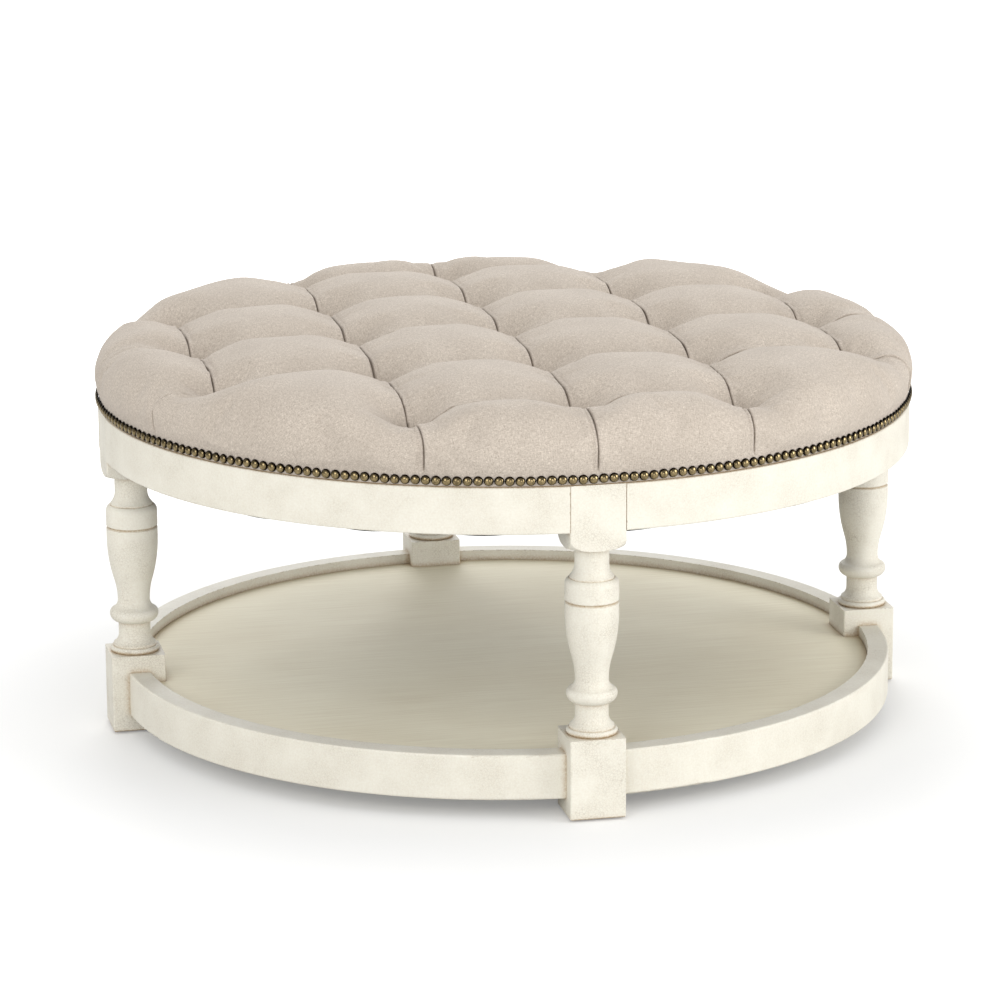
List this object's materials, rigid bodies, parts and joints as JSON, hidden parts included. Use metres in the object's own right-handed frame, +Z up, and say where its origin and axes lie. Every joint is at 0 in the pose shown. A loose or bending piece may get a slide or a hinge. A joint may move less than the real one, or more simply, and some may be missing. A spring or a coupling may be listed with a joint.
{
  "type": "ottoman coffee table",
  "caption": "Round padded coffee table with a deep-tufted linen top, domed nail trim, turned painted legs and a rimmed lower shelf.",
  "frame": {"origin": "middle of the footprint, on the floor", "axes": "+Z up; the legs stand on the X and Y axes, and the leg nearest the viewer is on -Y"},
  "size_m": [1.021, 1.021, 0.504],
  "materials": {
    "painted_wood": "satin",
    "shelf_paint": "satin",
    "raw_wood": "matte",
    "plywood": "matte",
    "linen": "matte",
    "wadding": "matte",
    "foam": "matte",
    "antique_brass": "satin",
    "steel": "satin",
    "twine": "matte",
    "dust_cloth": "matte",
    "glide_plastic": "satin"
  },
  "bodies": {
    "root": {"apron_dowels": "raw_wood", "apron_rail_back_left": "painted_wood", "apron_rail_back_right": "painted_wood", "apron_rail_front_left": "painted_wood", "apron_rail_front_right": "painted_wood", "clinch_washers": "steel", "corner_block_back": "raw_wood", "corner_block_front": "raw_wood", "corner_block_left": "raw_wood", "corner_block_right": "raw_wood", "corner_block_screws": "steel", "deck_board": "plywood", "deck_screws": "steel", "dust_cover": "dust_cloth", "dust_cover_staples": "steel", "foam_pad": "foam", "glides": "glide_plastic", "leg_back": "painted_wood", "leg_bolt_nuts": "steel", "leg_bolt_washers": "steel", "leg_bolts": "steel", "leg_front": "painted_wood", "leg_left": "painted_wood", "leg_right": "painted_wood", "linen_cover": "linen", "nailheads": "antique_brass", "panel_screws": "steel", "rim_dowels": "raw_wood", "shelf_bearer_crosswise": "raw_wood", "shelf_bearer_lengthwise": "raw_wood", "shelf_panel": "shelf_paint", "shelf_rim_back_left": "painted_wood", "shelf_rim_back_right": "painted_wood", "shelf_rim_front_left": "painted_wood", "shelf_rim_front_right": "painted_wood", "tufting_twine": "twine", "wadding": "wadding"}
  },
  "joints": []
}
